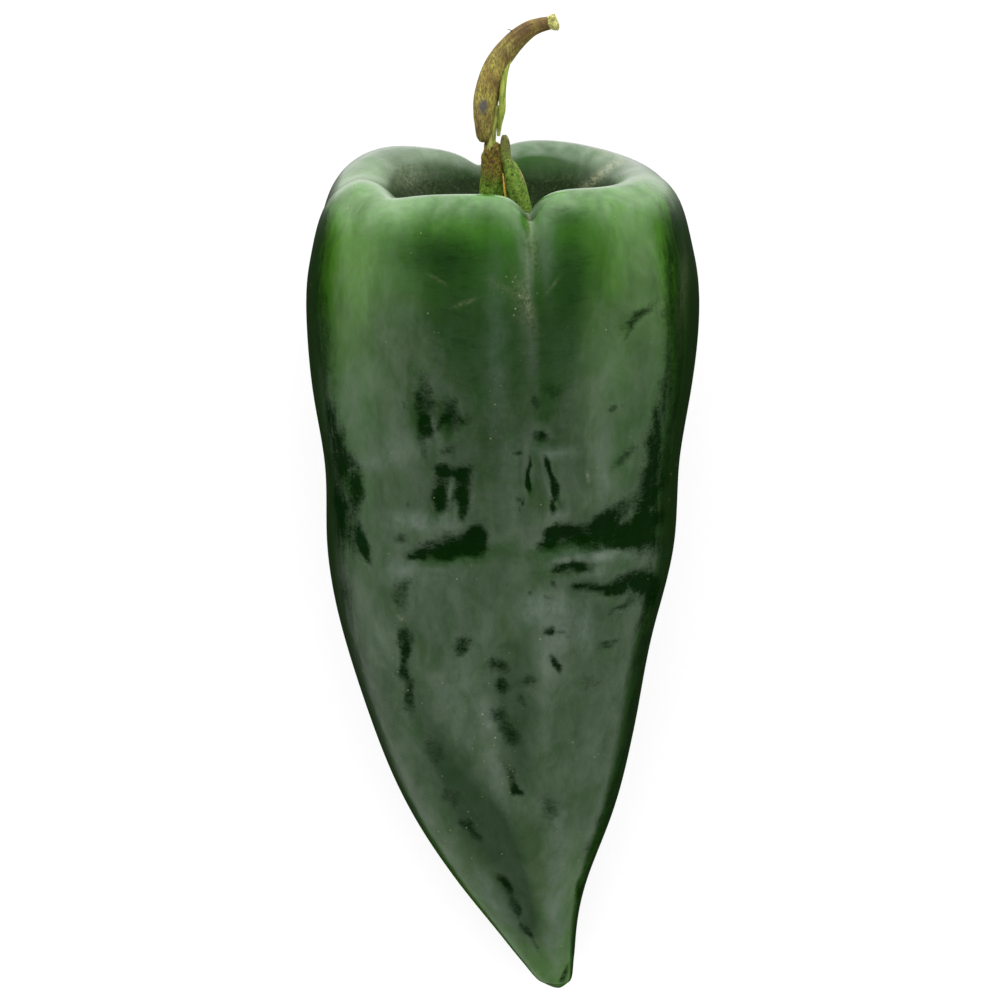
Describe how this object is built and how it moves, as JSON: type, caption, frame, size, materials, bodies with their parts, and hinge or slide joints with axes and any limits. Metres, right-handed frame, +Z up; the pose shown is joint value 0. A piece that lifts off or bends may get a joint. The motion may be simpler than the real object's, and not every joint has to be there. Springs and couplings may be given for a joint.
{
  "type": "poblano pepper",
  "caption": "Poblano pepper as picked, lying on its back: a broad lobed pod tapering to a blunt tip, with a snapped stem in the hollow between its shoulders.",
  "frame": {"origin": "centre of the box round the pepper as it lies, on the surface that it lies on", "axes": "+Y from the tip to the stem, +X to the viewer's right when the stem points away, +Z up"},
  "size_m": [0.0646, 0.1646, 0.0526],
  "materials": {
    "skin": null,
    "bark": "dry, matte and fibrous"
  },
  "bodies": {
    "root": {"fruit": "skin", "stem": "bark"}
  },
  "joints": []
}
